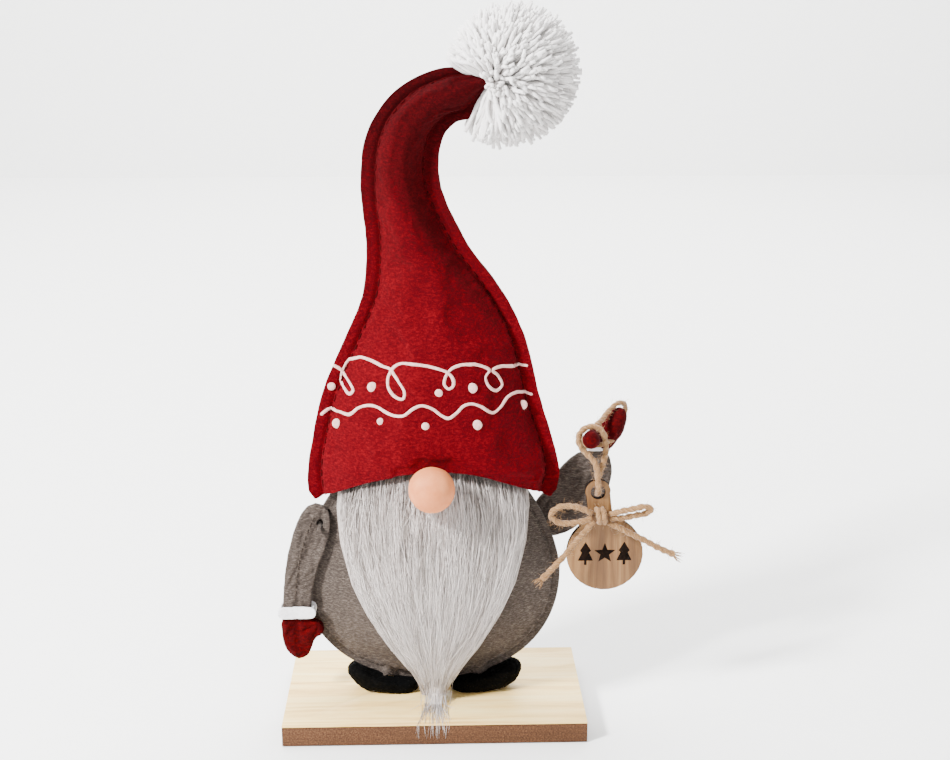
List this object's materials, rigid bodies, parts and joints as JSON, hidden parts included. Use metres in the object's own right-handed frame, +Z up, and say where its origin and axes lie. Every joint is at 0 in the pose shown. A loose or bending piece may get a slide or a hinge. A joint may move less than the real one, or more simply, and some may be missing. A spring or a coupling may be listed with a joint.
{
  "type": "gnome figurine",
  "caption": "Standing felt gnome with tall bent hat, yarn pom-pom, long fur beard, felt arms and a round wooden tag on twine, on a flat base.",
  "frame": {"origin": "centre of the underside of the base", "axes": "+Z up, -Y towards the gnome's front, +X towards its raised arm"},
  "size_m": [0.1852, 0.0856, 0.328],
  "materials": {
    "base_edge": "raw fibreboard, sawn edges",
    "base_top": "pale wood-effect sheet, matt",
    "steel": "zinc plated",
    "dowel_wood": "raw beech",
    "black_felt": "black craft felt",
    "grey_felt": "taupe melange felt",
    "red_felt": "red craft felt",
    "white_felt": "white craft felt",
    "fur": "long silver white faux fur",
    "fur_backing": "knitted fur backing",
    "fibrefill": "polyester fibrefill",
    "yarn": "white twisted yarn",
    "nose_wood": "painted ball, satin peach",
    "tag_wood": "thin laser-cut board, browned edges",
    "jute": "natural twisted jute"
  },
  "bodies": {
    "root": {"base_board": "base_edge", "base_veneer": "base_top", "screw_left": "steel", "screw_right": "steel", "leg_dowel_left": "dowel_wood", "leg_dowel_right": "dowel_wood", "shoe_left": "black_felt", "shoe_right": "black_felt", "body_front_panel": "grey_felt", "body_back_panel": "grey_felt", "body_stuffing": "fibrefill", "hat_front_panel": "red_felt", "hat_back_panel": "red_felt", "hat_stuffing": "fibrefill", "beard_backing": "fur_backing", "beard_crown": "fur", "nose": "nose_wood", "left_shoulder_thread": "jute", "right_shoulder_thread": "jute"},
    "hat_tip": {"hat_tip_front_panel": "red_felt", "hat_tip_back_panel": "red_felt", "hat_tip_stuffing": "fibrefill", "hat_tip_wire": "steel"},
    "pompom": {"pompom": "yarn", "pompom_tie": "yarn"},
    "beard": {"beard_fur": "fur"},
    "left_arm": {"left_sleeve": "grey_felt", "left_arm_wire": "steel", "left_cuff": "white_felt", "left_mitten": "red_felt"},
    "right_arm": {"right_sleeve": "grey_felt", "right_arm_wire": "steel", "right_cuff": "white_felt", "right_mitten": "red_felt"},
    "tag_loop": {"tag_loop": "jute"},
    "tag": {"tag": "tag_wood", "bow_knot": "jute", "bow_loop_left": "jute", "bow_loop_right": "jute", "bow_tail_left": "jute", "bow_tail_right": "jute"}
  },
  "joints": [
    {"name": "hat_tip_bend", "type": "hinge", "parent": "root", "child": "hat_tip", "pos_m": [-0.0105, 0, 0.236], "axis": [0, 1, 0], "range_deg": [-20, 20]},
    {"name": "pompom_swing", "type": "hinge", "parent": "hat_tip", "child": "pompom", "pos_m": [0.027, 0, 0.295], "axis": [0, 1, 0], "range_deg": [-15, 15]},
    {"name": "beard_lift", "type": "hinge", "parent": "root", "child": "beard", "pos_m": [0, -0.021, 0.108], "axis": [-1, 0, 0], "range_deg": [0, 25]},
    {"name": "left_arm_swing", "type": "hinge", "parent": "root", "child": "left_arm", "pos_m": [-0.0525, -0.011, 0.0945], "axis": [0, 1, 0], "range_deg": [0, 60]},
    {"name": "right_arm_swing", "type": "hinge", "parent": "root", "child": "right_arm", "pos_m": [0.05, 0.009, 0.091], "axis": [0, 1, 0], "range_deg": [-5, 12]},
    {"name": "tag_loop_swing", "type": "hinge", "parent": "right_arm", "child": "tag_loop", "pos_m": [0.0727, -0.008, 0.1357], "axis": [0, 1, 0], "range_deg": [-12, 5]},
    {"name": "tag_tilt", "type": "hinge", "parent": "tag_loop", "child": "tag", "pos_m": [0.0756, -0.012, 0.112], "axis": [-1, 0, 0], "range_deg": [-4, 12]}
  ]
}
